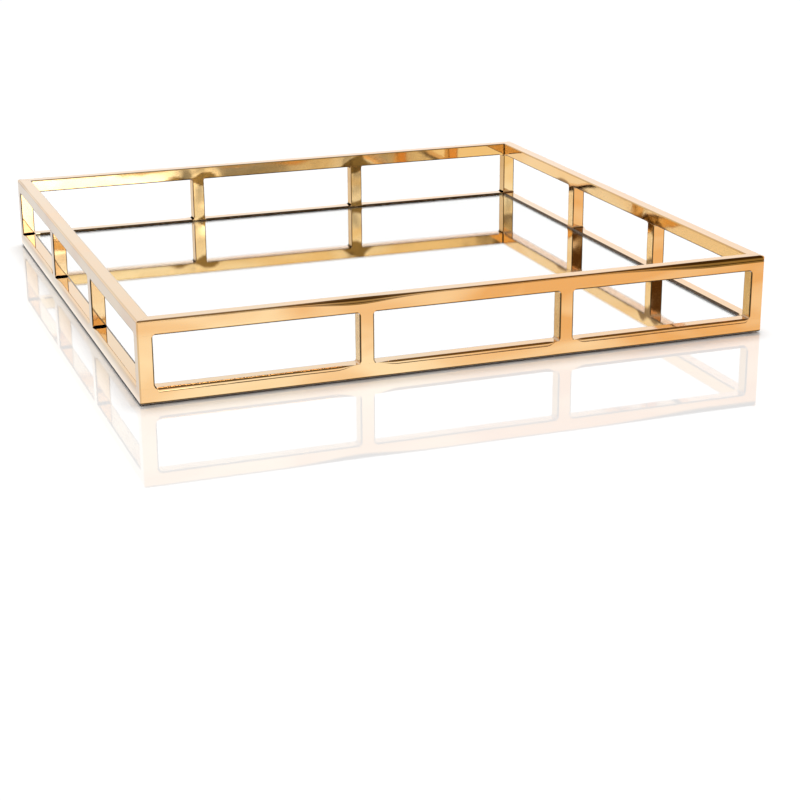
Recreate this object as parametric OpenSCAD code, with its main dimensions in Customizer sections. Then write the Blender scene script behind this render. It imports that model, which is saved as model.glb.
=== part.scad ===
// Dresser vanity tray: a square gallery of gold-plated square tube round a mirrored floor.
// Two mitred rings of tube are held apart by four corner posts and eight window posts.
// The mirror lies on a backing board, which rests on plates welded inside the lower ring. A bead
// of sealant closes the gap round the glass.
// Origin: the middle of the footprint, on the table. +Z is up and the front side is at -Y.

/* [Tray] */
// Side of the square frame, over the tubes
tray_side = 356; // [300:1:420]
// Height from the table to the top of the frame
tray_h = 44.4; // [36:0.1:60]
// Gap between the table and the underside of the frame
frame_gap = 0.6; // [0.3:0.1:1.5]
// Distance from the middle of a side to the middle of each window post
post_offset = 57; // [40:0.5:65]

/* [Tube] */
// Outside width of the square tube
tube = 8; // [8:0.5:10]
// Wall thickness of the tube
tube_wall = 0.8; // [0.6:0.1:1.2]
// Outside corner radius of the tube
tube_r = 0.5; // [0.3:0.1:0.6]
// Radius of the ground weld fillets in the corners of the windows
weld_r = 1.2; // [0.6:0.1:2]

/* [Floor] */
// Thickness of the mirror glass
mirror_t = 2; // [1.8:0.1:2.6]
// Depth of the mirror's face below the top of the lower ring
mirror_recess = 1; // [0.8:0.1:1.3]
// Gap between the edge of the glass and the tube
mirror_gap = 0.5; // [0.3:0.1:0.8]
// Depth that the sealant fills between the glass and the tube
seal_depth = 1; // [0.5:0.1:1.5]
// Thickness of the tape that holds the mirror
tape_t = 0.4; // [0.2:0.1:0.5]
// Width of each strip of tape
tape_w = 19; // [12:1:30]
// Thickness of the hardboard backing
board_t = 2.5; // [2:0.1:2.5]
// Gap between the edge of the backing board and the tube
board_gap = 0.3; // [0.2:0.1:1]
// Thickness of the felt under the board
felt_t = 1; // [0.6:0.1:1.1]

/* [Plates and feet] */
// Thickness of the corner gussets and the side tabs
plate_t = 1.2; // [1:0.1:1.2]
// Length of a gusset's two square sides
gusset_leg = 40; // [30:1:60]
// Length of a side tab along its rail
tab_l = 40; // [20:1:60]
// Width of a side tab, out from its rail
tab_w = 12; // [8:1:20]
// Diameter of a foot pad
foot_d = 12; // [8:0.5:14]
// Distance from a foot pad's middle to the tube on each side
foot_inset = 12; // [9:0.5:14]
// Gap between the felt and the plates
felt_gap = 1; // [0.5:0.1:3]

/* [Hidden] */
$fn = 48;
half = tray_side / 2;
rail_c = half - tube / 2;
inner = half - tube;
lower_top = frame_gap + tube;
upper_bottom = tray_h - tube;
post_h = upper_bottom - lower_top;
mirror_z = lower_top - mirror_recess - mirror_t;
seal_h = mirror_recess - tube_r;
tape_z = mirror_z - tape_t;
board_z = tape_z - board_t;
plate_z = board_z - plate_t;
felt_z = board_z - felt_t;
mirror_side = 2 * (inner - mirror_gap);
board_side = 2 * (inner - board_gap);
felt_side = board_side - 4;
tape_rows = 4;
tape_l = mirror_side - 40;
tape_pitch = (mirror_side - 60) / (tape_rows - 1);
post_edge = post_offset + tube / 2;
inner_post_edge = post_offset - tube / 2;
gold = [0.88, 0.66, 0.42];
plated_steel = [0.72, 0.66, 0.52];

// Turns a shape made on the front side to side k: 0 front, 1 right, 2 back, 3 left
module to_side(k) {
    rotate([0, 0, 90 * k]) children();
}

// Square with rounded corners, centred
module rounded_square(side, r) {
    square([side - 2 * r, side], center = true);
    square([side, side - 2 * r], center = true);
    for (sx = [-1, 1], sy = [-1, 1])
        translate([sx * (side / 2 - r), sy * (side / 2 - r)]) circle(r = r);
}

// Cross-section of the tube
module tube_section() {
    difference() {
        rounded_square(tube, tube_r);
        square(tube - 2 * tube_wall, center = true);
    }
}

// Quarter of the plan that lies on the front side of both mitre planes
module mitre_wedge() {
    linear_extrude(height = tray_h + tube)
        polygon([[0, 0], [-tray_side, -tray_side], [tray_side, -tray_side]]);
}

// Front rail of a ring, mitred at both ends, with its underside at height z
module rail(z) {
    color(gold)
        intersection() {
            translate([0, -rail_c, z + tube / 2])
                rotate([0, 90, 0])
                    linear_extrude(height = tray_side, center = true) tube_section();
            mitre_wedge();
        }
}

// Upright tube between the two rings, on the front side at x
module post(x) {
    color(gold)
        translate([x, -rail_c, lower_top])
            linear_extrude(height = post_h) tube_section();
}

// Concave fillet along Y, in the corner at the origin that opens towards +X and +Z
module fillet() {
    rotate([90, 0, 0])
        linear_extrude(height = tube - 2 * tube_r, center = true)
            difference() {
                square(weld_r);
                translate([weld_r, weld_r]) circle(r = weld_r);
            }
}

// Fillets at the two ends of one edge of a window, from x0 to x1 on the front side
module fillet_pair(x0, x1, z, flip) {
    translate([x0, -rail_c, z]) mirror([0, 0, flip]) fillet();
    translate([x1, -rail_c, z]) mirror([1, 0, 0]) mirror([0, 0, flip]) fillet();
}

// Ground weld fillets at height z on all twelve windows; flip = 1 hangs them from above
module weld_row(z, flip) {
    color(gold)
        for (k = [0:3])
            to_side(k) {
                fillet_pair(-inner, -post_edge, z, flip);
                fillet_pair(-inner_post_edge, inner_post_edge, z, flip);
                fillet_pair(post_edge, inner, z, flip);
            }
}

// Triangular plate in the front left corner of the lower ring
module gusset() {
    color(plated_steel)
        translate([-inner, -inner, plate_z])
            linear_extrude(height = plate_t)
                polygon([[0, 0], [gusset_leg, 0], [0, gusset_leg]]);
}

// Rectangular plate at the middle of the front rail
module side_tab() {
    color(plated_steel)
        translate([-tab_l / 2, -inner, plate_z]) cube([tab_l, tab_w, plate_t]);
}

// Round pad under the front left gusset
module foot_pad() {
    color("dimgray")
        translate([-inner + foot_inset, -inner + foot_inset, 0])
            cylinder(d = foot_d, h = plate_z);
}

// Board that carries the mirror
module backing_board() {
    color("saddlebrown")
        translate([-board_side / 2, -board_side / 2, board_z])
            cube([board_side, board_side, board_t]);
}

// Cut-outs in the felt for one corner plate and one side tab
module felt_cutouts() {
    corner = gusset_leg + 2 * felt_gap;
    translate([-inner, -inner]) polygon([[0, 0], [corner, 0], [0, corner]]);
    translate([-tab_l / 2 - felt_gap, -inner])
        square([tab_l + 2 * felt_gap, tab_w + felt_gap]);
}

// Felt on the underside of the board
module felt_base() {
    color("black")
        translate([0, 0, felt_z])
            linear_extrude(height = felt_t)
                difference() {
                    square(felt_side, center = true);
                    for (k = [0:3]) rotate(90 * k) felt_cutouts();
                }
}

// Strips of double-sided tape between the board and the mirror
module mirror_tape() {
    color("white")
        for (i = [0:tape_rows - 1]) {
            y = (i - (tape_rows - 1) / 2) * tape_pitch;
            translate([-tape_l / 2, y - tape_w / 2, tape_z]) cube([tape_l, tape_w, tape_t]);
        }
}

// Mirrored glass floor
module mirror_pane() {
    color("lightcyan")
        translate([-mirror_side / 2, -mirror_side / 2, mirror_z])
            cube([mirror_side, mirror_side, mirror_t]);
}

// Outline of the sealant bead: it fills the gap and slopes up from the glass to the tube
module seal_section() {
    polygon([[0, -seal_depth], [mirror_gap, -seal_depth], [mirror_gap, 0], [0, seal_h]]);
}

// Bead of sealant along the front edge of the glass, mitred at both ends
module seal_side() {
    intersection() {
        translate([0, -inner, mirror_z + mirror_t])
            rotate([90, 0, 90])
                linear_extrude(height = tray_side, center = true) seal_section();
        mitre_wedge();
    }
}

// Bead of sealant round the whole glass
module edge_seal() {
    color([0.14, 0.11, 0.08])
        for (k = [0:3]) to_side(k) seal_side();
}

rail(upper_bottom);  // top_rail_front
to_side(1) rail(upper_bottom);  // top_rail_right
to_side(2) rail(upper_bottom);  // top_rail_back
to_side(3) rail(upper_bottom);  // top_rail_left
rail(frame_gap);  // bottom_rail_front
to_side(1) rail(frame_gap);  // bottom_rail_right
to_side(2) rail(frame_gap);  // bottom_rail_back
to_side(3) rail(frame_gap);  // bottom_rail_left
post(-rail_c);  // corner_post_front_left
to_side(1) post(-rail_c);  // corner_post_front_right
to_side(2) post(-rail_c);  // corner_post_back_right
to_side(3) post(-rail_c);  // corner_post_back_left
post(-post_offset);  // window_post_front_left
post(post_offset);  // window_post_front_right
to_side(1) post(-post_offset);  // window_post_right_front
to_side(1) post(post_offset);  // window_post_right_back
to_side(2) post(-post_offset);  // window_post_back_right
to_side(2) post(post_offset);  // window_post_back_left
to_side(3) post(-post_offset);  // window_post_left_back
to_side(3) post(post_offset);  // window_post_left_front
weld_row(upper_bottom, 1);  // weld_fillets_top
weld_row(lower_top, 0);  // weld_fillets_bottom
gusset();  // corner_gusset_front_left
to_side(1) gusset();  // corner_gusset_front_right
to_side(2) gusset();  // corner_gusset_back_right
to_side(3) gusset();  // corner_gusset_back_left
side_tab();  // side_tab_front
to_side(1) side_tab();  // side_tab_right
to_side(2) side_tab();  // side_tab_back
to_side(3) side_tab();  // side_tab_left
backing_board();
felt_base();
mirror_tape();
mirror_pane();
edge_seal();
foot_pad();  // foot_pad_front_left
to_side(1) foot_pad();  // foot_pad_front_right
to_side(2) foot_pad();  // foot_pad_back_right
to_side(3) foot_pad();  // foot_pad_back_left
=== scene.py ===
"""Looks of the dresser vanity tray: polished gold tubes with ground welds, a silvered mirror
floor, and the board, felt and feet under it. Lengths are in metres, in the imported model's frame:
+Z is up and the front side of the tray is at -Y."""
import math

import bmesh
import bpy
from mathutils import Matrix, Vector, noise


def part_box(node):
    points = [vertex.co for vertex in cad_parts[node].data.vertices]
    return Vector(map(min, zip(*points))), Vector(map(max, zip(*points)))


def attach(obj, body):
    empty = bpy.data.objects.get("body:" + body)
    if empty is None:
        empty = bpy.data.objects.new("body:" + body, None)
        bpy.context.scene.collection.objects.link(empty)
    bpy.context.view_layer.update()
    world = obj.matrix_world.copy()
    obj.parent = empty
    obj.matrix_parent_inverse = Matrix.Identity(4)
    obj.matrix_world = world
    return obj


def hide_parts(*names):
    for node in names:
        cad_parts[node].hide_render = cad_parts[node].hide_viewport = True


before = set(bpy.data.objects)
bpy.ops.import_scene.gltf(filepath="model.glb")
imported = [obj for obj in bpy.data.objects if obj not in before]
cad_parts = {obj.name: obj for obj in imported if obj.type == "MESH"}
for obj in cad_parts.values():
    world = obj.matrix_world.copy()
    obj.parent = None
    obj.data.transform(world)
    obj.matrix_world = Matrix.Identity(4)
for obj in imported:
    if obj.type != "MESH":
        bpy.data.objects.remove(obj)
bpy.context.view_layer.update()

# ---------------------------------------------------------------- sizes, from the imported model
MM = 0.001
SIDES = ("front", "right", "back", "left")
CORNERS = ("front_left", "front_right", "back_right", "back_left")
rail_lo, rail_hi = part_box("bottom_rail_front")
top_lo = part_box("top_rail_front")[0]
post_lo, post_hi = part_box("window_post_front_left")
weld_lo, weld_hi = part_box("weld_fillets_bottom")
glass_lo, glass_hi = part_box("mirror_pane")
HALF = rail_hi.x
TUBE = rail_hi.z - rail_lo.z
INNER = HALF - TUBE
RAIL_C = HALF - TUBE / 2
POST_C = -(post_lo.x + post_hi.x) / 2
LOWER_Z = rail_lo.z
LOWER_TOP = rail_hi.z
UPPER_Z = top_lo.z
WELD_R = weld_hi.z - weld_lo.z
POST_EDGES = (POST_C - TUBE / 2, POST_C + TUBE / 2)

# ---------------------------------------------------------------- shaping of the tubes
ARC_STEPS = 8             # facets round each edge of a tube
FLAT_SPLITS = (0.03, 0.16, 0.33, 0.5, 0.67, 0.84, 0.97)  # places of the points across a flat
CORNER_R = 0.9 * MM       # rounding of the frame's upright corners
CORNER_STEPS = 6          # stations round half of such a corner
JOINT_R = 0.004 * MM      # edge rounding where tubes are welded flush
POST_BURY = 0.5 * MM      # how far a post's ends run into the rails
BURIED_INSET = 0.12 * MM  # how much a post narrows there
OUTER_SINK = 0.05 * MM    # hollow that grinding leaves beside a weld, on the frame's outside
INNER_SINK = 0.17 * MM    # the same on its inside, which is polished less
SINK_LENGTH = 11 * MM     # distance between two such hollows
WELD_REACH = 9 * MM       # how far from a joint they go
WAVE = 0.012 * MM         # unevenness of the polished flats
WAVE_LENGTH = 26 * MM     # distance between its swells
PROBE = 0.1 * MM          # step for measuring the slope of that unevenness
HEAT_RISE = 7.5 * MM      # how far the brown of welding heat and painted dark reflection reaches on the inner faces, away from a joint
HEAT_REACH = 17 * MM      # and sideways, along the rail
HEAT_PATCH = 13 * MM      # size of the patches in it
HEAT_FADE = 1.6 * MM      # width of its soft border
HEAT_AND_REFLECTION_LINE = 0.42          # its line value, where 0.5 is the full brown and 1 is the painted dark edge
END_RUN = 4 * MM          # last stretch of a rail, before its mitre
MITRE_LEAD = 2 * MM       # its last part, swept while the outer face rounds the corner

# Edge radii of the rails
WINDOW_EDGE = 0.52 * MM          # along the windows
SHOULDER = (1.7 * MM, 3.0 * MM)  # a bottom rail's outer upper edge: across and up
OUTER_FOOT = 0.8 * MM            # a bottom rail's outer lower edge
INNER_FOOT = 0.6 * MM            # a bottom rail's inner lower edge
TOP_OUTER = 1.15 * MM            # a top rail's outer upper edge, where it isn't worn
TOP_INNER = 0.75 * MM            # a top rail's inner upper edge

# Each edge of a tube: angle of its first normal, and whether it is inner and upper
EDGES = ((-90, 0, 0), (180, 0, 1), (90, 1, 1), (0, 1, 0))


def quarter_turns(turn):
    return Matrix.Rotation(math.radians(90 * turn), 4, "Z")


def smooth(t):
    """Smooth step from 0 to 1."""
    t = min(1.0, max(0.0, t))
    return t * t * (3 - 2 * t)


def mix(a, b, t):
    return a + (b - a) * t


def section(radii, lines):
    """Outline of a tube as (across, up, normal across, normal up, line). Each edge has a radius
    across and a radius up, and a strength for the painted dark line along it, which is painted
    shade and dark reflection.
    Across is 0 on the outer face and up is 0 on the underside."""
    arcs = []
    for (first, inner, upper), (ra, ru), line in zip(EDGES, radii, lines):
        centre_a = TUBE - ra if inner else ra
        centre_u = TUBE - ru if upper else ru
        arc = []
        for s in range(ARC_STEPS + 1):
            t = math.radians(first - 90 * s / ARC_STEPS)
            ca, cu = math.cos(t), math.sin(t)
            n = Vector((ca / ra, cu / ru)).normalized()
            arc.append((centre_a + ra * ca, centre_u + ru * cu, n.x, n.y, line))
        arcs.append(arc)
    outline = []
    for i, arc in enumerate(arcs):
        outline += arc
        a, b = arc[-1], arcs[(i + 1) % 4][0]
        for t in FLAT_SPLITS:
            outline.append((mix(a[0], b[0], t), mix(a[1], b[1], t), a[2], a[3], 0.0))
    return outline


OUTLINE_N = len(section(((MM, MM),) * 4, (0,) * 4))


def outline_faces():
    """For each step round the outline, the face it lies on: 0 outer, 1 upper, 2 inner, 3 lower."""
    per_edge = ARC_STEPS + 1 + len(FLAT_SPLITS)
    faces = []
    for i in range(OUTLINE_N):
        edge, step = divmod(i, per_edge)
        faces.append(edge if step >= ARC_STEPS // 2 else (edge - 1) % 4)
    return faces


FACE_OF = outline_faces()


def girth(outline):
    """Distance round the tube to each point of its outline."""
    out, total = [], 0.0
    for i, p in enumerate(outline):
        if i:
            q = outline[i - 1]
            total += math.hypot(p[0] - q[0], p[1] - q[1])
        out.append(total)
    return out


class Build:
    """Collects points with normals and shading values, and turns them into one piece."""

    def __init__(self):
        self.points, self.normals, self.values, self.faces, self.flat = [], [], [], [], []
        self.slots = []

    def add(self, p, n, run=0.0, around=0.0, line=0.0):
        self.points.append(p)
        self.normals.append(n)
        self.values.append((run, around, line))
        return len(self.points) - 1

    def face(self, corners, flat=False, slot=0):
        self.faces.append(corners)
        self.flat.append(flat)
        self.slots.append(slot)

    def sweep(self, rings, slot_of=None):
        """Joins rings into a closed tube. A ring is a list of (p, n, run, around, line)."""
        first = len(self.points)
        count = len(rings[0])
        for ring in rings:
            for row in ring:
                self.add(*row)
        for i in range(len(rings) - 1):
            for j in range(count):
                a = first + i * count + j
                b = first + i * count + (j + 1) % count
                slot = slot_of(j) if slot_of else 0
                self.face((a, b, b + count, a + count), slot=slot)
        self.face(tuple(first + j for j in range(count)), flat=True)
        last = first + (len(rings) - 1) * count
        self.face(tuple(last + j for j in reversed(range(count))), flat=True)

    def piece(self, name, turn, materials):
        """Makes the mesh object, turned about Z by turn quarter turns."""
        spin = quarter_turns(turn)
        mesh = bpy.data.meshes.new(name)
        mesh.from_pydata([spin @ Vector(p) for p in self.points], [], self.faces)
        normals = [spin.to_3x3() @ Vector(n) for n in self.normals]
        bm = bmesh.new()
        bm.from_mesh(mesh)
        if bm.calc_volume(signed=True) < 0:
            bmesh.ops.reverse_faces(bm, faces=bm.faces)
        bm.to_mesh(mesh)
        bm.free()
        for material in materials:
            mesh.materials.append(material)
        loop_normals = []
        for poly, flat, slot in zip(mesh.polygons, self.flat, self.slots):
            poly.use_smooth = True
            poly.material_index = slot
            for v in poly.vertices:
                loop_normals.append(poly.normal.copy() if flat else normals[v])
        for k, key in enumerate(("run", "around", "line")):
            layer = mesh.attributes.new(key, "FLOAT", "POINT")
            layer.data.foreach_set("value", [row[k] for row in self.values])
        mesh.normals_split_custom_set(loop_normals)
        obj = bpy.data.objects.new(name, mesh)
        bpy.context.scene.collection.objects.link(obj)
        return obj


def finish_piece(obj, slot, *nodes):
    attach(obj, "root")
    if nodes:
        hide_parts(*nodes)
    return obj


# ---------------------------------------------------------------- materials
def shader(name):
    """A new material, its node tree and its Principled shader."""
    material = bpy.data.materials.new(name)
    material.use_nodes = True
    tree = material.node_tree
    bsdf = next(n for n in tree.nodes if n.type == "BSDF_PRINCIPLED")
    return material, tree, bsdf


def node(tree, kind, **settings):
    made = tree.nodes.new(kind)
    for key, value in settings.items():
        setattr(made, key, value)
    return made


def link(tree, output, socket):
    tree.links.new(output, socket)


def noise_at(tree, vector, scale, detail=3.0, roughness=0.5, distortion=0.0):
    made = node(tree, "ShaderNodeTexNoise")
    made.inputs["Scale"].default_value = scale
    made.inputs["Detail"].default_value = detail
    made.inputs["Roughness"].default_value = roughness
    made.inputs["Distortion"].default_value = distortion
    link(tree, vector, made.inputs["Vector"])
    return made.outputs["Fac"]


def remap(tree, value, low, high, to_low=0.0, to_high=1.0):
    made = node(tree, "ShaderNodeMapRange", interpolation_type="SMOOTHSTEP")
    link(tree, value, made.inputs["Value"])
    for key, v in zip(("From Min", "From Max", "To Min", "To Max"), (low, high, to_low, to_high)):
        made.inputs[key].default_value = v
    return made.outputs["Result"]


def math_node(tree, operation, a, b):
    made = node(tree, "ShaderNodeMath", operation=operation)
    for socket, value in zip(made.inputs, (a, b)):
        if hasattr(value, "links"):
            link(tree, value, socket)
        else:
            socket.default_value = value
    return made.outputs[0]


def mix_color(tree, factor, a, b):
    made = node(tree, "ShaderNodeMix", data_type="RGBA")
    sockets = [s for s in made.inputs if s.enabled]
    for socket, value in zip(sockets, (factor, a, b)):
        if hasattr(value, "links"):
            link(tree, value, socket)
        elif isinstance(value, tuple):
            socket.default_value = (*value, 1.0)
        else:
            socket.default_value = value
    return next(s for s in made.outputs if s.enabled)


def bump(tree, height, distance, strength=1.0, under=None):
    made = node(tree, "ShaderNodeBump")
    made.inputs["Strength"].default_value = strength
    made.inputs["Distance"].default_value = distance
    link(tree, height, made.inputs["Height"])
    if under is not None:
        link(tree, under, made.inputs["Normal"])
    return made.outputs["Normal"]


def attribute(tree, name):
    return node(tree, "ShaderNodeAttribute", attribute_name=name).outputs["Fac"]


def object_coordinates(tree):
    return node(tree, "ShaderNodeTexCoord").outputs["Object"]


HEAT_BROWN_AND_DARK_REFLECTION = (0.22, 0.105, 0.015)  # gold tinted by welding heat, and painted dark reflection beside a joint
EDGE_PAINTED_DARK = (0.09, 0.05, 0.015)   # painted shade and dark reflection along an edge


def gold(name, light, deep, roughness, coat=1.0, edge=EDGE_PAINTED_DARK):
    """Lacquered gold plating on polished steel, with painted light: its colour is painted lighter
    on the left of the tray and low down, and deeper to the right and higher up. Polishing streaks
    run along the tube. A line value of 0.5 is brown from welding heat and painted dark reflection,
    with no clear coat left, and a value of 1 is the painted dark line of an edge, painted shade and
    dark reflection."""
    material, tree, bsdf = shader(name)
    place = object_coordinates(tree)
    run, around, line = (attribute(tree, key) for key in ("run", "around", "line"))
    streak_at = node(tree, "ShaderNodeCombineXYZ")
    link(tree, math_node(tree, "MULTIPLY", run, 60.0), streak_at.inputs[0])
    link(tree, math_node(tree, "MULTIPLY", around, 2600.0), streak_at.inputs[1])
    streak = noise_at(tree, streak_at.outputs[0], 1.0, detail=4.0, roughness=0.6)
    split = node(tree, "ShaderNodeSeparateXYZ")
    link(tree, place, split.inputs[0])
    # Painted light: the gold is painted lighter on the left of the tray and low down, and deeper to
    # the right and higher up
    painted_light_across = remap(tree, split.outputs[0], -0.8 * HALF, 0.8 * HALF, 0.0, 0.7)
    rise = remap(tree, split.outputs[2], LOWER_TOP, UPPER_Z, 0.0, 0.4)
    drawn_out = node(tree, "ShaderNodeMapping")
    drawn_out.inputs["Scale"].default_value = (15.0, 15.0, 42.0)
    link(tree, place, drawn_out.inputs["Vector"])
    cloud = noise_at(tree, drawn_out.outputs["Vector"], 1.0, detail=1.5, distortion=0.6)
    cloud = remap(tree, cloud, 0.28, 0.72, -0.38, 0.38)
    painted_light_and_tone = math_node(tree, "ADD", math_node(tree, "ADD", painted_light_across, rise), cloud)
    smudge = remap(tree, noise_at(tree, place, 95.0, detail=5.0, roughness=0.62), 0.5, 0.72)
    grain = noise_at(tree, place, 2200.0, detail=2.0)
    base = mix_color(tree, painted_light_and_tone, light, deep)
    # Up to a line value of 0.5: brown from welding heat and painted dark reflection
    base = mix_color(tree, remap(tree, line, 0.0, 0.5), base, HEAT_BROWN_AND_DARK_REFLECTION)
    # From a line value of 0.5 to 1: the painted dark edge, painted shade and dark reflection
    base = mix_color(tree, remap(tree, line, 0.5, 1.0), base, edge)
    link(tree, base, bsdf.inputs["Base Color"])
    rough = math_node(tree, "ADD", remap(tree, streak, 0.3, 0.8, roughness, roughness + 0.04),
                      math_node(tree, "MULTIPLY", smudge, 0.035))
    link(tree, rough, bsdf.inputs["Roughness"])
    swell = noise_at(tree, place, 55.0, detail=1.0)
    relief = bump(tree, swell, 0.25 * MM, 0.3)
    relief = bump(tree, streak, 0.002 * MM, 0.5, relief)
    relief = bump(tree, grain, 0.002 * MM, 0.4, relief)
    link(tree, relief, bsdf.inputs["Normal"])
    bsdf.inputs["Metallic"].default_value = 1.0
    link(tree, remap(tree, line, 0.0, 0.5, coat, 0.0), bsdf.inputs["Coat Weight"])
    bsdf.inputs["Coat Roughness"].default_value = 0.03
    bsdf.inputs["Coat IOR"].default_value = 1.65
    return material


# GOLD is for the outer faces. The other copies of the same gold have colours set for how light
# falls on each face, as painted light and shade: the inner faces are painted lighter, and the top
# faces get a narrower, more even range
GOLD = gold("gold_polished", (0.95, 0.66, 0.33), (0.79, 0.35, 0.065), 0.03)
GOLD_INNER_PAINTED_LIGHT = gold("gold_inner_painted_light", (0.94, 0.73, 0.40), (0.82, 0.48, 0.15), 0.03, coat=0.4)
GOLD_TOP_PAINTED_LIGHT = gold("gold_top_painted_light", (0.74, 0.50, 0.25), (0.82, 0.46, 0.16), 0.03, coat=0.7)
# The sides of the posts in the windows: the same gold painted darker as painted shade, with a
# darker painted edge line
GOLD_REVEAL_PAINTED_SHADE = gold("gold_reveal_painted_shade", (0.68, 0.44, 0.17), (0.58, 0.32, 0.08), 0.12, coat=0.15,
                   edge=(0.07, 0.04, 0.015))
GOLD_WELD = gold("gold_weld", (0.62, 0.36, 0.15), (0.42, 0.23, 0.08), 0.12)


# ---------------------------------------------------------------- rails
def window_share(x, start, ramp):
    """0 beside a post, rising to 1 over ramp from start away from it."""
    a = abs(x)
    gap = max(POST_EDGES[0] - a, min(a - POST_EDGES[1], INNER - a))
    return smooth((gap - start) / ramp)


def depth_at(q):
    """How far grinding and polishing have taken the tubes' sides down at a place in the tray. It
    depends on the place only, so tubes that are welded flush stay flush."""
    side = max(abs(q.x), abs(q.y))
    along = min(abs(q.x), abs(q.y))
    post = min(abs(along - POST_C), abs(along - RAIL_C)) - TUBE / 2
    joint = min(abs(q.z - LOWER_TOP), abs(q.z - UPPER_Z))
    near = math.exp(-(max(0.0, post) / WELD_REACH) ** 2 - (joint / WELD_REACH) ** 2)
    depth = mix(OUTER_SINK, INNER_SINK, smooth((HALF - side) / TUBE))
    hollow = depth * near * (0.5 + 0.5 * noise.noise(q / SINK_LENGTH + Vector((3.1, 1.7, 0.4))))
    return hollow + WAVE * (1 + noise.noise(q / WAVE_LENGTH))


PROBES = (Vector((PROBE, 0, 0)), Vector((0, PROBE, 0)), Vector((0, 0, PROBE)))


def ground(p, n, spin):
    """A point of a tube and its normal, taken down by grinding and polishing. p and n are on the
    front side, and spin turns them to their own side. Tops and undersides stay true."""
    share = 1 - n.z * n.z
    if share < 0.001:
        return p, n
    turn = spin.to_3x3()
    q, m = turn @ p, turn @ n
    depth = depth_at(q)
    slope = Vector([depth_at(q + probe) - depth for probe in PROBES]) * (share / PROBE)
    slope -= m * slope.dot(m)
    return p - n * (depth * share), (n + turn.transposed() @ slope).normalized()


def heat_tint_and_dark_reflection(q):
    """Strength at q, on an inner face, of the brown by a window post: tint from welding heat, and
    painted dark reflection where the ground face dips beside the joint.
    """
    along = min(abs(q.x), abs(q.y))
    post = max(0.0, abs(along - POST_C) - TUBE / 2)
    joint = min(abs(q.z - LOWER_TOP), abs(q.z - UPPER_Z))
    patchy = 0.6 + 0.9 * noise.noise(q / HEAT_PATCH + Vector((5.2, 0.3, 1.9)))
    bound = HEAT_RISE * math.exp(-post / HEAT_REACH) * patchy
    return HEAT_AND_REFLECTION_LINE * smooth((bound - joint) / HEAT_FADE)


def edge_wear(x, seed):
    """How much further than usual the top edge is rounded at x. The front rail is worn most near
    its right end and to the left of its first window post."""
    if seed:
        return max(0.0, 0.4 * noise.noise(Vector((x / (45 * MM), seed * 2.3, 0))))
    right_end = 0.9 * smooth((x - 70 * MM) / (80 * MM))
    patch = 0.8 * math.exp(-((x + 62 * MM) / (26 * MM)) ** 2)
    return right_end + patch


def rail_shape(x, lower, seed):
    """Edge radii of a rail at x, and the strength of the painted dark line (painted shade and dark
    reflection) along each edge: outer lower, outer upper, inner upper, inner lower. Edges that a
    weld covers are sharp, with no line."""
    lively = 1 + 0.12 * noise.noise(Vector((x * 25, seed * 7.1, 0)))
    # The shoulder starts at once by a corner, and slowly by a window post
    long_ramp = window_share(x, 0.2 * MM, 1.8 * MM)
    if abs(x) < INNER - 30 * MM:
        long_ramp = window_share(x, 0.8 * MM, (12 if x < 0 else 6) * MM)
    open_near = window_share(x, 0.2 * MM, 1.0 * MM)
    window = mix(JOINT_R, WINDOW_EDGE, open_near)
    if lower:
        across, up = (mix(JOINT_R, r * lively, long_ramp) for r in SHOULDER)
        radii = ((OUTER_FOOT,) * 2, (across, up), (window,) * 2, (INNER_FOOT,) * 2)
        # The outer lower edge gets the full painted dark line, as painted shade where it meets the
        # floor
        return radii, (1.0, 0.0, open_near, 0.0)
    wear = edge_wear(x, seed)
    across = TOP_OUTER * lively * (1 + wear)
    up = across * (1 + 0.7 * wear)
    radii = ((window,) * 2, (across, up), (TOP_INNER,) * 2, (window,) * 2)
    return radii, (open_near, 0.15 + 0.3 * wear, 0.2, open_near)


def rail_stations():
    """Places along the right half of a rail, close together beside the posts."""
    near = [0.0, 0.4, 0.8, 1.2, 1.6, 2.0, 2.4, 2.8, 3.2, 3.6, 4.4, 5.6, 7.2, 9.5, 12.5]
    steps = [s * MM for s in near]
    inner, outer = POST_EDGES
    last = INNER - END_RUN
    places = [inner * i / 9 for i in range(9) if inner * i / 9 < inner - 14 * MM]
    places += [inner - s for s in reversed(steps)]
    places += [mix(inner, outer, i / 4) for i in range(1, 4)]
    places += [outer + s for s in steps]
    mid_from, mid_to = outer + 20 * MM, last - 12 * MM
    places += [mix(mid_from, mid_to, i / 10) for i in range(11)]
    places += [last - s for s in (8 * MM, 5 * MM, 2.5 * MM, 1 * MM, 0.0)]
    return places


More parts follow.
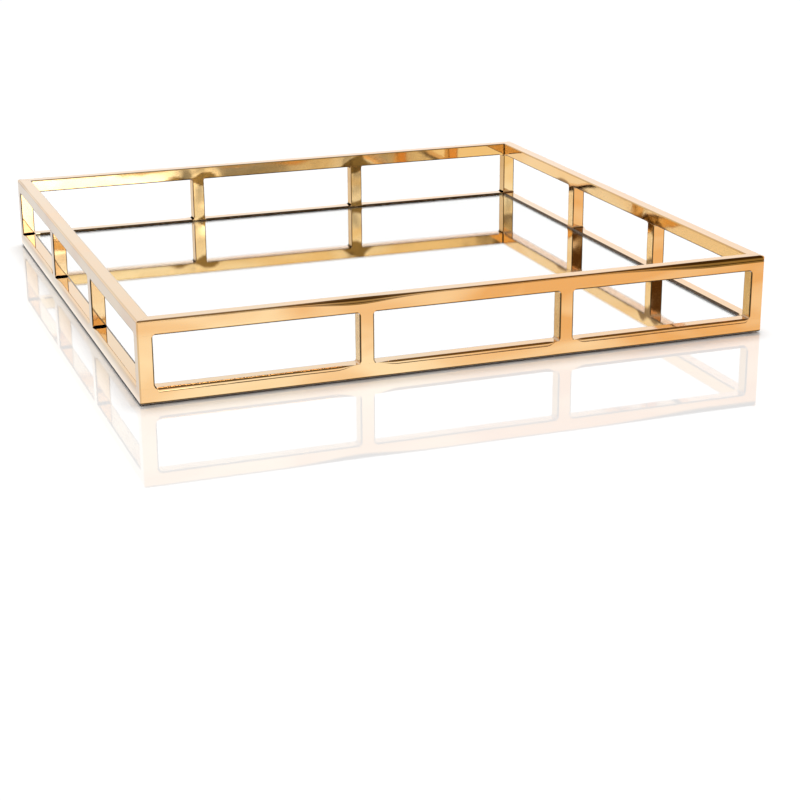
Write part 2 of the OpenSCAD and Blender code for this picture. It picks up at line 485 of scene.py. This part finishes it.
def rail(name, turn, z, lower):
    seed = turn + (4 if lower else 0)
    build = Build()
    spin = quarter_turns(turn)

    def ring(x, place, seam=0.0):
        """One section at x. Seam is the strength of a dark line across its inner face."""
        outline = section(*rail_shape(x, lower, seed))
        rows = []
        for (a, u, na, nu, line), g, face in zip(outline, girth(outline), FACE_OF):
            px, py, ox, oy = place(a)
            n = Vector((-na * ox, -na * oy, nu))
            p, tilted = ground(Vector((px, py, z + u)), n, spin)
            if face == 2:
                line = max(line, seam, heat_tint_and_dark_reflection(spin @ p))
            rows.append((p, tilted, px, g, line))
        return rows

    def straight(x):
        return lambda a: (x, -HALF + a, 0.0, -1.0)

    def skewed(sign, t):
        """From the last straight station to the start of the rounded corner."""
        start = INNER - END_RUN

        def place(a):
            end = HALF - CORNER_R if a <= CORNER_R else HALF - a - MITRE_LEAD
            return sign * mix(start, end, t), -HALF + a, 0.0, -1.0
        return place

    def corner(sign, t):
        """Round the frame's upright corner, as far as the mitre."""
        angle = math.radians(45 * t)
        sn, cs = math.sin(angle), math.cos(angle)

        def place(a):
            if a <= CORNER_R:
                r = CORNER_R - a
                centre = HALF - CORNER_R
                return sign * (centre + r * sn), -centre - r * cs, sign * sn, -cs
            return sign * (HALF - a - (1 - t) * MITRE_LEAD), -HALF + a, 0.0, -1.0
        return place

    half_places = rail_stations()
    end_steps = 12

    def end_rings(sign):
        rings = []
        start = INNER - END_RUN
        for i in range(1, end_steps):
            t = i / end_steps
            rings.append(ring(sign * mix(start, HALF - CORNER_R, t), skewed(sign, t)))
        for i in range(CORNER_STEPS + 1):
            seam = 1.0 if i >= CORNER_STEPS - 1 else 0.0
            rings.append(ring(sign * HALF, corner(sign, i / CORNER_STEPS), seam))
        return rings

    rings = list(reversed(end_rings(-1)))
    rings += [ring(-x, straight(-x)) for x in reversed(half_places[1:])]
    rings += [ring(x, straight(x)) for x in half_places]
    rings += end_rings(1)
    slots = {1: 2, 2: 1}
    build.sweep(rings, lambda j: slots.get(FACE_OF[j], 0))
    return build.piece(name, turn, (GOLD, GOLD_INNER_PAINTED_LIGHT, GOLD_TOP_PAINTED_LIGHT))


for turn, side in enumerate(SIDES):
    for level, z, lower in (("top", UPPER_Z, False), ("bottom", LOWER_Z, True)):
        cad = f"{level}_rail_{side}"
        finish_piece(rail(f"{cad}_polished", turn, z, lower), "gold_rail", cad)


# ---------------------------------------------------------------- posts
def post_shape(z, corner):
    """Edge radii of a post at height z, and the painted dark line (painted shade and dark
    reflection) along each edge. A corner post's first edge is the frame's upright corner, and its
    second and fourth edges border both its windows."""
    low, high = z - LOWER_TOP, UPPER_Z - z
    share = min(smooth((low - 0.2 * MM) / (1.6 * MM)), smooth((high - 0.1 * MM) / (1.2 * MM)))
    inner = mix(JOINT_R, 0.45 * MM, share)
    outer = mix(JOINT_R, 0.55 * MM, share)
    radii = (CORNER_R if corner else outer, outer, inner, outer if corner else inner)
    return tuple((r, r) for r in radii), (0.0 if corner else share, share, share * 0.7, share)


def post_stations():
    low, high = LOWER_TOP - POST_BURY, UPPER_Z + POST_BURY
    steps = [0.0, 0.49, 0.51, 0.7, 0.9, 1.2, 1.5, 1.9, 2.3, 2.8, 3.5, 4.5, 6.0, 8.5]
    mid = [mix(low + 11 * MM, high - 11 * MM, i / 3) for i in range(4)]
    return [low + s * MM for s in steps] + mid + [high - s * MM for s in reversed(steps)]


def post(name, turn, x, corner, reveal_faces):
    build = Build()
    spin = quarter_turns(turn)
    rings = []
    for z in post_stations():
        end = min(z - LOWER_TOP, UPPER_Z - z)
        inset = BURIED_INSET * smooth(-end / POST_BURY)
        outline = section(*post_shape(z, corner))
        rows = []
        for (a, u, na, nu, line), g, face in zip(outline, girth(outline), FACE_OF):
            n = Vector((nu, na, 0.0))
            p, tilted = ground(Vector((x - TUBE / 2 + u, -HALF + a, z)), n, spin)
            if face == 2:
                line = max(line, heat_tint_and_dark_reflection(spin @ p))
            rows.append((p - n * inset, tilted, z, g, line))
        rings.append(rows)
    slots = {2: 1, **{face: 2 for face in reveal_faces}}
    build.sweep(rings, lambda j: slots.get(FACE_OF[j], 0))
    return build.piece(name, turn, (GOLD, GOLD_INNER_PAINTED_LIGHT, GOLD_REVEAL_PAINTED_SHADE))


# The reveals that face left and right are rougher and painted darker, as painted shade, than those
# that face the front
for turn, corner_name in enumerate(CORNERS):
    cad = f"corner_post_{corner_name}"
    made = post(f"{cad}_polished", turn, -RAIL_C, True, (2,) if turn % 2 else (1,))
    finish_piece(made, "gold_post", cad)

for turn, side in enumerate(SIDES):
    beyond, before = SIDES[(turn + 1) % 4], SIDES[(turn - 1) % 4]
    for x, end in ((-POST_C, before), (POST_C, beyond)):
        cad = f"window_post_{side}_{end}"
        made = post(f"{cad}_polished", turn, x, False, () if turn % 2 else (1, 3))
        finish_piece(made, "gold_post", cad)


# ---------------------------------------------------------------- ground weld fillets
def fillet(build, x, z, along, up, turn, seed):
    """A concave fillet in the window corner at (x, z), opening along X and up or down."""
    spin = quarter_turns(turn)
    depth_steps, arc_steps, bury = 14, 8, 0.3 * MM
    rings = []
    for i in range(depth_steps + 1):
        t = i / depth_steps
        a = mix(0.05 * MM, TUBE - 0.05 * MM, (1 - math.cos(math.pi * t)) / 2)
        end = min(a, TUBE - a)
        ragged = noise.noise(Vector((a / (2.2 * MM), seed * 1.7, 0)))
        r = WELD_R * (0.86 + 0.12 * ragged) * mix(0.5, 1.0, smooth(end / (1.1 * MM)))
        rows = []
        for s in range(arc_steps + 1):
            angle = math.radians(180 + 90 * s / arc_steps)
            dx, dz = r * (1 + math.cos(angle)), r * (1 + math.sin(angle))
            n = Vector((-along * math.cos(angle), 0.0, -up * math.sin(angle)))
            p = Vector((x + along * dx, -HALF + a, z + up * dz))
            rows.append((spin @ p, spin.to_3x3() @ n, a, s * r / 5, 0.0))
        for dx, dz in ((r, -bury), (-bury, -bury), (-bury, r)):
            n = Vector((along * (1 if dx > 0 else -1), 0.0, up * (1 if dz > 0 else -1)))
            p = Vector((x + along * dx, -HALF + a, z + up * dz))
            rows.append((spin @ p, spin.to_3x3() @ n.normalized(), a, 0.0, 0.0))
        rings.append(rows)
    build.sweep(rings)


WINDOWS = ((-INNER, -POST_EDGES[1]), (-POST_EDGES[0], POST_EDGES[0]), (POST_EDGES[1], INNER))

for level, z, up in (("top", UPPER_Z, -1), ("bottom", LOWER_TOP, 1)):
    build = Build()
    for turn in range(4):
        for w, (x0, x1) in enumerate(WINDOWS):
            fillet(build, x0, z, 1, up, turn, turn * 10 + w * 3 + up)
            fillet(build, x1, z, -1, up, turn, turn * 10 + w * 3 + up + 1.5)
    made = build.piece(f"weld_fillets_{level}_ground", 0, (GOLD_WELD,))
    finish_piece(made, "gold_weld", f"weld_fillets_{level}")


# ---------------------------------------------------------------- mirror
def slab(name, lo, hi, bevel, segments, materials, edge_slot=0):
    """A plate with rounded edges. Its upright faces and bevels take edge_slot."""
    bm = bmesh.new()
    bmesh.ops.create_cube(bm, size=1.0)
    size, middle = hi - lo, (lo + hi) / 2
    placed = Matrix.Translation(middle) @ Matrix.Diagonal((*size, 1))
    bmesh.ops.transform(bm, matrix=placed, verts=bm.verts)
    bmesh.ops.bevel(bm, geom=bm.edges[:], offset=bevel, segments=segments, profile=0.5,
                    affect="EDGES")
    for f in bm.faces:
        f.normal_update()
        if abs(f.normal.z) < 0.999:
            f.material_index = edge_slot
    mesh = bpy.data.meshes.new(name)
    bm.to_mesh(mesh)
    bm.free()
    for material in materials:
        mesh.materials.append(material)
    obj = bpy.data.objects.new(name, mesh)
    bpy.context.scene.collection.objects.link(obj)
    return obj


def clear_glass():
    """Float glass, with a few faint smears on its face."""
    material, tree, bsdf = shader("float_glass")
    place = object_coordinates(tree)
    smear = noise_at(tree, place, 16.0, detail=4.0, distortion=0.8)
    link(tree, remap(tree, smear, 0.58, 0.75, 0.0, 0.012), bsdf.inputs["Roughness"])
    tint = mix_color(tree, noise_at(tree, place, 6.0), (1.0, 1.0, 1.0), (0.99, 1.0, 0.995))
    link(tree, tint, bsdf.inputs["Base Color"])
    bsdf.inputs["Transmission Weight"].default_value = 1.0
    bsdf.inputs["IOR"].default_value = 1.52
    return material


def ground_glass():
    """The seamed edge of the glass: grey green and matt, with fine grinding marks."""
    material, tree, bsdf = shader("glass_edge")
    place = object_coordinates(tree)
    marks = noise_at(tree, place, 900.0, detail=3.0)
    color = mix_color(tree, remap(tree, marks, 0.35, 0.7), (0.035, 0.045, 0.04), (0.09, 0.11, 0.10))
    link(tree, color, bsdf.inputs["Base Color"])
    link(tree, remap(tree, marks, 0.3, 0.7, 0.3, 0.5), bsdf.inputs["Roughness"])
    link(tree, bump(tree, marks, 0.05 * MM, 0.6), bsdf.inputs["Normal"])
    return material


def silver_coat():
    """The silver at the back of the glass."""
    material, tree, bsdf = shader("silvering")
    place = object_coordinates(tree)
    clouds = noise_at(tree, place, 9.0, detail=3.0)
    color = mix_color(tree, clouds, (0.99, 0.99, 0.985), (0.975, 0.98, 0.975))
    link(tree, color, bsdf.inputs["Base Color"])
    link(tree, remap(tree, clouds, 0.4, 0.7, 0.0, 0.004), bsdf.inputs["Roughness"])
    bsdf.inputs["Metallic"].default_value = 1.0
    return material


def backing_paint():
    """The grey paint that guards the silver from below."""
    material, tree, bsdf = shader("mirror_back_paint")
    place = object_coordinates(tree)
    peel = noise_at(tree, place, 260.0, detail=3.0)
    color = mix_color(tree, peel, (0.16, 0.17, 0.18), (0.23, 0.24, 0.25))
    link(tree, color, bsdf.inputs["Base Color"])
    link(tree, remap(tree, peel, 0.3, 0.7, 0.45, 0.6), bsdf.inputs["Roughness"])
    link(tree, bump(tree, peel, 0.05 * MM, 0.5), bsdf.inputs["Normal"])
    return material


ARRIS = 0.35 * MM       # width of the seamed edge of the glass
SILVER_LOW = 0.01 * MM  # from the underside of the glass up to the underside of the silver
SILVER_TOP = 0.06 * MM  # and up to its top
SILVER_EDGE = 0.01 * MM
glass = slab("mirror_glass", glass_lo, glass_hi, ARRIS, 1, (clear_glass(), ground_glass()), 1)
finish_piece(glass, "mirror_glass", "mirror_pane")
margin = Vector((ARRIS, ARRIS, 0))
silver_lo = glass_lo + margin + Vector((0, 0, SILVER_LOW))
silver_hi = Vector((glass_hi.x, glass_hi.y, glass_lo.z + SILVER_TOP)) - margin
silver = slab("mirror_silver", silver_lo, silver_hi, SILVER_EDGE, 1,
              (silver_coat(), backing_paint()), 1)
finish_piece(silver, "mirror_glass")


def sealant():
    """Dark brown sealant that has skinned over: glossy, with small lumps."""
    material, tree, bsdf = shader("sealant")
    place = object_coordinates(tree)
    lumps = noise_at(tree, place, 320.0, detail=3.0)
    color = mix_color(tree, remap(tree, lumps, 0.35, 0.7), (0.06, 0.03, 0.012), (0.16, 0.09, 0.045))
    link(tree, color, bsdf.inputs["Base Color"])
    link(tree, remap(tree, lumps, 0.3, 0.7, 0.16, 0.32), bsdf.inputs["Roughness"])
    link(tree, bump(tree, lumps, 0.12 * MM, 0.6), bsdf.inputs["Normal"])
    return material


BEAD_BURY = 0.15 * MM    # how far the bead runs into the tube
BEAD_LAP = 0.02 * MM     # how far it runs into the glass, so that no gap shows
BEAD_WIDTH = (0.6, 1.0)  # about the narrowest and the widest, in millimetres from the tube
BEAD_RISE = (0.3, 0.6)   # about the lowest and the highest, in millimetres above the glass


def sealant_bead():
    """A concave bead round the glass. It fills the gap and laps onto the glass and up the tube."""
    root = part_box("edge_seal")[0].z
    gap, top = INNER - glass_hi.x, glass_hi.z
    arc_steps, per_side = 7, 72
    build = Build()
    spins = [quarter_turns(k) for k in range(4)]
    for k in range(4):
        for i in range(per_side):
            share = 2 * i / per_side - 1
            q = spins[k] @ Vector((share * INNER, -INNER, 0.0))
            wander = 0.5 + 0.5 * noise.noise(q / (9 * MM)) + 0.25 * noise.noise(q / (2.5 * MM))
            width, height = mix(*BEAD_WIDTH, wander) * MM, mix(*BEAD_RISE, wander) * MM
            outline = [(-BEAD_BURY, root), (gap - BEAD_LAP, root)]
            outline += [(gap - BEAD_LAP, top - BEAD_LAP), (width, top - BEAD_LAP)]
            for s in range(arc_steps + 1):
                t = math.radians(90 * s / arc_steps)
                outline.append((width * (1 - math.sin(t)), top + height * (1 - math.cos(t))))
            outline.append((-BEAD_BURY, top + height))
            for w, z in outline:
                p = Vector((share * (INNER - w), -INNER + w, z))
                build.add(spins[k] @ p, Vector((0, 0, 1)))
    count, rings = arc_steps + 6, 4 * per_side
    for i in range(rings):
        for j in range(count):
            a, b = i * count, (i + 1) % rings * count
            n = (j + 1) % count
            build.face((a + j, a + n, b + n, b + j), flat=True)
    return build.piece("edge_seal_bead", 0, (sealant(),))


finish_piece(sealant_bead(), "sealant", "edge_seal")


# ---------------------------------------------------------------- board, tape, felt, plates, feet
def hardboard():
    material, tree, bsdf = shader("hardboard")
    place = object_coordinates(tree)
    fibre = noise_at(tree, place, 700.0, detail=5.0, roughness=0.65, distortion=1.2)
    cloud = noise_at(tree, place, 22.0, detail=3.0)
    strands = remap(tree, fibre, 0.35, 0.68)
    color = mix_color(tree, strands, (0.20, 0.105, 0.055), (0.33, 0.20, 0.11))
    color = mix_color(tree, remap(tree, cloud, 0.4, 0.7, 0.0, 0.3), color, (0.15, 0.08, 0.045))
    link(tree, color, bsdf.inputs["Base Color"])
    link(tree, remap(tree, fibre, 0.3, 0.7, 0.5, 0.72), bsdf.inputs["Roughness"])
    link(tree, bump(tree, fibre, 0.06 * MM, 0.7), bsdf.inputs["Normal"])
    return material


def felt_cloth():
    material, tree, bsdf = shader("felt")
    place = object_coordinates(tree)
    fuzz = noise_at(tree, place, 1500.0, detail=6.0, roughness=0.7, distortion=1.6)
    patch = noise_at(tree, place, 45.0, detail=4.0)
    color = mix_color(tree, fuzz, (0.012, 0.012, 0.014), (0.055, 0.055, 0.06))
    color = mix_color(tree, remap(tree, patch, 0.4, 0.7, 0.0, 0.35), color, (0.035, 0.034, 0.036))
    link(tree, color, bsdf.inputs["Base Color"])
    link(tree, bump(tree, fuzz, 0.25 * MM, 0.8), bsdf.inputs["Normal"])
    bsdf.inputs["Roughness"].default_value = 0.95
    bsdf.inputs["Sheen Weight"].default_value = 0.35
    return material


def foam_tape():
    material, tree, bsdf = shader("foam_tape")
    place = object_coordinates(tree)
    cells = noise_at(tree, place, 1800.0, detail=3.0)
    color = mix_color(tree, cells, (0.70, 0.70, 0.67), (0.82, 0.82, 0.79))
    link(tree, color, bsdf.inputs["Base Color"])
    link(tree, bump(tree, cells, 0.05 * MM, 0.5), bsdf.inputs["Normal"])
    bsdf.inputs["Roughness"].default_value = 0.7
    return material


def plated_sheet():
    material, tree, bsdf = shader("plated_sheet")
    place = object_coordinates(tree)
    rolled = node(tree, "ShaderNodeMapping")
    rolled.inputs["Scale"].default_value = (60.0, 1600.0, 1600.0)
    link(tree, place, rolled.inputs["Vector"])
    lines = noise_at(tree, rolled.outputs["Vector"], 1.0, detail=3.0)
    stain = noise_at(tree, place, 160.0, detail=4.0)
    color = mix_color(tree, remap(tree, stain, 0.45, 0.7), (0.60, 0.50, 0.33), (0.42, 0.33, 0.20))
    link(tree, color, bsdf.inputs["Base Color"])
    link(tree, remap(tree, lines, 0.3, 0.7, 0.24, 0.42), bsdf.inputs["Roughness"])
    link(tree, bump(tree, lines, 0.01 * MM, 0.5), bsdf.inputs["Normal"])
    bsdf.inputs["Metallic"].default_value = 1.0
    return material


def foot_rubber():
    material, tree, bsdf = shader("foot_rubber")
    place = object_coordinates(tree)
    pores = noise_at(tree, place, 1400.0, detail=4.0)
    dust = remap(tree, noise_at(tree, place, 240.0, detail=4.0), 0.5, 0.75)
    color = mix_color(tree, pores, (0.018, 0.018, 0.019), (0.035, 0.035, 0.036))
    color = mix_color(tree, math_node(tree, "MULTIPLY", dust, 0.4), color, (0.10, 0.095, 0.09))
    link(tree, color, bsdf.inputs["Base Color"])
    link(tree, remap(tree, pores, 0.3, 0.7, 0.55, 0.75), bsdf.inputs["Roughness"])
    link(tree, bump(tree, pores, 0.04 * MM, 0.6), bsdf.inputs["Normal"])
    return material


def dress(cad, material, bevel):
    """Keeps a CAD node, breaks its sharp edges and gives it a finish."""
    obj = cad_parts[cad]
    obj.data.materials.clear()
    obj.data.materials.append(material)
    edge = obj.modifiers.new("broken_edges", "BEVEL")
    edge.width = bevel
    edge.segments = 2
    edge.limit_method = "ANGLE"
    edge.angle_limit = math.radians(40)


dress("backing_board", hardboard(), 0.25 * MM)
dress("mirror_tape", foam_tape(), 0.08 * MM)
dress("felt_base", felt_cloth(), 0.3 * MM)
SHEET_METAL = plated_sheet()
for corner_name in CORNERS:
    dress(f"corner_gusset_{corner_name}", SHEET_METAL, 0.2 * MM)
for side in SIDES:
    dress(f"side_tab_{side}", SHEET_METAL, 0.2 * MM)


def foot(cad, material):
    """A moulded pad: rounded rim, shallow dish in its underside."""
    lo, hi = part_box(cad)
    r, h = (hi.x - lo.x) / 2, hi.z - lo.z
    cx, cy = (lo.x + hi.x) / 2, (lo.y + hi.y) / 2
    rim = 0.45 * MM
    profile = [(0.0, 0.25 * MM), (r * 0.55, 0.22 * MM), (r * 0.72, 0.02 * MM), (r - rim, 0.0)]
    for s in range(1, 7):
        t = math.radians(-90 + 90 * s / 6)
        profile.append((r - rim + rim * math.cos(t), rim + rim * math.sin(t)))
    profile += [(r - 0.15 * MM, h - 0.15 * MM), (r - 0.3 * MM, h), (0.0, h)]
    around = 48
    bm = bmesh.new()
    loops = []
    for pr, pz in profile:
        if pr == 0.0:
            loops.append([bm.verts.new((cx, cy, lo.z + pz))])
            continue
        loop = []
        for k in range(around):
            t = 2 * math.pi * k / around
            loop.append(bm.verts.new((cx + pr * math.cos(t), cy + pr * math.sin(t), lo.z + pz)))
        loops.append(loop)
    for a, b in zip(loops, loops[1:]):
        for k in range(around):
            n = (k + 1) % around
            if len(a) == 1:
                bm.faces.new((a[0], b[n], b[k]))
            elif len(b) == 1:
                bm.faces.new((a[k], a[n], b[0]))
            else:
                bm.faces.new((a[k], a[n], b[n], b[k]))
    bmesh.ops.recalc_face_normals(bm, faces=bm.faces)
    for f in bm.faces:
        f.smooth = True
    mesh = bpy.data.meshes.new(f"{cad}_moulded")
    bm.to_mesh(mesh)
    bm.free()
    mesh.materials.append(material)
    obj = bpy.data.objects.new(mesh.name, mesh)
    bpy.context.scene.collection.objects.link(obj)
    finish_piece(obj, "foot_rubber", cad)


RUBBER = foot_rubber()
for corner_name in CORNERS:
    foot(f"foot_pad_{corner_name}", RUBBER)


# ---------------------------------------------------------------- studio
FLOOR_REACH = 8.0          # half the floor's side
FLOOR_GLOW = 1.08          # brightness of the floor as the metal sees it
SIDE_GLOW = 0.78           # the same beyond the tray's left side
GLOSS = 0.5                # the floor's specular level under the tray
GLOSS_FADE = (0.45, 0.9)   # distances between which it fades to none
EVEN_LIGHT = 0.16          # low light from all sides, for matt things
UPPER_WALL = 1.09          # brightness of the walls, above what stands in front
DOME_COLOR = (0.19, 0.13, 0.06)
DARK_ROOM = (0.10, 0.06, 0.025)

# A place in the room is a bearing and a height. A bearing is in degrees from -Y towards +X, and
# a height is the upward part of a unit direction. Soft borders are (from, to) pairs.
SCREEN_TOP = (0.225, 0.25)
FRONT_FROM, FRONT_TO = -30, 60
# What stands in front, as (bearing, brightness)
FRONT_WALL = ((-30, 1.09), (3, 1.5), (6, 3.2), (12.6, 3.0), (14.3, 0.38), (16.2, 0.4), (17.3, 0.85),
              (18.8, 1.0), (19.4, 0.4), (20.6, 0.9), (22, 1.0), (23, 0.6), (24, 1.08), (60, 1.09))
SCREEN_LIGHT = max(level for _, level in FRONT_WALL)
DOORWAY_BEARINGS = ((21.8, 24.4), (29.8, 30.6))
DOORWAY_HEIGHTS = ((0.222, 0.236), (0.280, 0.300))
STRIP_BEARINGS = ((8, 11), (60, 85))
STRIP_TOP = (0.11, 0.165)
# The dome's share over the white walls, by height: a small ceiling panel breaks it at the top
DOME = ((0.0, 0.0), (0.52, 0.0), (0.60, 1.0), (0.92, 1.0), (0.99, 0.5))

SUN_FROM = (0.06, 0.14, 1.0)
SUN_SPREAD = 30            # degrees
SUN_STRENGTH = 2.9

VIEW_FROM = (-1.0148, -2.9591, 0.8614)      # in sides of the tray
VIEW_TURN, VIEW_DROP, VIEW_ROLL = 20.204, 18.950, -0.292   # degrees
LENS = 83.93


def floor():
    """A plain white glossy floor, wide enough to reach the horizon. A light path gives the metal a
    floor that glows evenly, with no shadows on it. The gloss fades with distance, so that the
    floor meets the white background with no edge."""
    mesh = bpy.data.meshes.new("studio_floor")
    corners = ((-1, -1), (1, -1), (1, 1), (-1, 1))
    points = [(FLOOR_REACH * x, FLOOR_REACH * y, 0) for x, y in corners]
    mesh.from_pydata(points, [], [(0, 1, 2, 3)])
    obj = bpy.data.objects.new("studio_floor", mesh)
    bpy.context.scene.collection.objects.link(obj)
    material, tree, bsdf = shader("studio_floor")
    bsdf.inputs["Base Color"].default_value = (0.93, 0.93, 0.93, 1.0)
    bsdf.inputs["Roughness"].default_value = 0.03
    bsdf.inputs["IOR"].default_value = 2.3
    glow = node(tree, "ShaderNodeEmission")
    place = node(tree, "ShaderNodeSeparateXYZ")
    link(tree, object_coordinates(tree), place.inputs[0])
    graded = remap(tree, place.outputs[0], -HALF - 4 * MM, -HALF, SIDE_GLOW, FLOOR_GLOW)
    link(tree, graded, glow.inputs["Strength"])
    away = node(tree, "ShaderNodeVectorMath", operation="LENGTH")
    link(tree, object_coordinates(tree), away.inputs[0])
    gloss = remap(tree, away.outputs["Value"], *GLOSS_FADE, GLOSS, 0.0)
    link(tree, gloss, bsdf.inputs["Specular IOR Level"])
    choose = node(tree, "ShaderNodeMixShader")
    rays = node(tree, "ShaderNodeLightPath")
    first = math_node(tree, "LESS_THAN", rays.outputs["Ray Depth"], 1.5)
    link(tree, math_node(tree, "MULTIPLY", rays.outputs["Is Glossy Ray"], first), choose.inputs[0])
    link(tree, bsdf.outputs[0], choose.inputs[1])
    link(tree, glow.outputs[0], choose.inputs[2])
    output = next(n for n in tree.nodes if n.type == "OUTPUT_MATERIAL")
    link(tree, choose.outputs[0], output.inputs["Surface"])
    mesh.materials.append(material)


def ramp_of(tree, value, stops):
    """A grey ramp through (place, level) stops."""
    ramp = node(tree, "ShaderNodeValToRGB")
    while len(ramp.color_ramp.elements) < len(stops):
        ramp.color_ramp.elements.new(0.5)
    for element, (place, level) in zip(ramp.color_ramp.elements, stops):
        element.position = place
        element.color = (level, level, level, 1.0)
    link(tree, value, ramp.inputs["Fac"])
    return ramp.outputs["Color"]


def band(tree, value, rise, fall):
    """1 between two soft borders, and 0 beyond them."""
    return math_node(tree, "MULTIPLY", remap(tree, value, *rise),
                     remap(tree, value, *fall, 1.0, 0.0))


def in_radians(borders):
    return [[math.radians(angle) for angle in border] for border in borders]


def studio_world():
    """What the metal sees: white walls up to 32 degrees, a dim dome above them and a small ceiling
    panel. In front, where the photographer stands, the wall is broken into a bright screen and
    dark gaps. From the screen towards +X a dark strip lies along the horizon, and there is a dark
    doorway just above the screen's height. Light paths tell the rays apart: the camera itself
    sees plain white, and matt things get a low even light."""
    world = bpy.data.worlds.new("studio")
    bpy.context.scene.world = world
    world.use_nodes = True
    tree = world.node_tree
    background = next(n for n in tree.nodes if n.type == "BACKGROUND")
    split = node(tree, "ShaderNodeSeparateXYZ")
    link(tree, node(tree, "ShaderNodeTexCoord").outputs["Generated"], split.inputs[0])
    height = split.outputs[2]
    ahead = math_node(tree, "MULTIPLY", split.outputs[1], -1.0)
    bearing = math_node(tree, "ARCTAN2", split.outputs[0], ahead)
    turned = remap(tree, bearing, math.radians(FRONT_FROM), math.radians(FRONT_TO))
    turned.node.interpolation_type = "LINEAR"
    reach = FRONT_TO - FRONT_FROM
    stops = [((place - FRONT_FROM) / reach, level / SCREEN_LIGHT) for place, level in FRONT_WALL]
    upper = (UPPER_WALL / SCREEN_LIGHT,) * 3
    wall = mix_color(tree, remap(tree, height, *SCREEN_TOP), ramp_of(tree, turned, stops), upper)
    wall = math_node(tree, "MULTIPLY", wall, SCREEN_LIGHT)
    doorway = math_node(tree, "MULTIPLY", band(tree, bearing, *in_radians(DOORWAY_BEARINGS)),
                        band(tree, height, *DOORWAY_HEIGHTS))
    wall = mix_color(tree, doorway, wall, DARK_ROOM)
    seen = mix_color(tree, ramp_of(tree, height, DOME), wall, DOME_COLOR)
    strip = math_node(tree, "MULTIPLY", band(tree, bearing, *in_radians(STRIP_BEARINGS)),
                      remap(tree, height, *STRIP_TOP, 1.0, 0.0))
    seen = mix_color(tree, strip, seen, DARK_ROOM)
    rays = node(tree, "ShaderNodeLightPath")
    seen = mix_color(tree, rays.outputs["Is Diffuse Ray"], seen, (EVEN_LIGHT,) * 3)
    seen = mix_color(tree, rays.outputs["Is Camera Ray"], seen, (1.0, 1.0, 1.0))
    link(tree, seen, background.inputs["Color"])


def sunlight():
    """Soft parallel light from nearly overhead, which the metal doesn't see."""
    light = bpy.data.lights.new("key", "SUN")
    light.angle = math.radians(SUN_SPREAD)
    light.energy = SUN_STRENGTH
    obj = bpy.data.objects.new("key", light)
    obj.rotation_euler = (-Vector(SUN_FROM)).to_track_quat("-Z", "Y").to_euler()
    obj.visible_glossy = False
    obj.visible_camera = False
    bpy.context.scene.collection.objects.link(obj)


def camera():
    """The viewpoint: low, in front and to the left."""
    turn, drop, roll = (math.radians(angle) for angle in (VIEW_TURN, VIEW_DROP, VIEW_ROLL))
    look = Vector((math.sin(turn) * math.cos(drop), math.cos(turn) * math.cos(drop),
                   -math.sin(drop)))
    level = Vector((math.cos(turn), -math.sin(turn), 0.0))
    above = level.cross(look)
    right = level * math.cos(roll) + above * math.sin(roll)
    up = above * math.cos(roll) - level * math.sin(roll)
    data = bpy.data.cameras.new("camera")
    data.sensor_width = 36.0
    data.lens = LENS
    data.clip_start, data.clip_end = 0.01, 100.0
    obj = bpy.data.objects.new("camera", data)
    aim = Matrix((right, up, -look)).transposed().to_4x4()
    obj.matrix_world = Matrix.Translation(Vector(VIEW_FROM) * (2 * HALF)) @ aim
    bpy.context.scene.collection.objects.link(obj)
    bpy.context.scene.camera = obj


floor()
studio_world()
sunlight()
camera()
bpy.context.scene.view_settings.view_transform = "Standard"
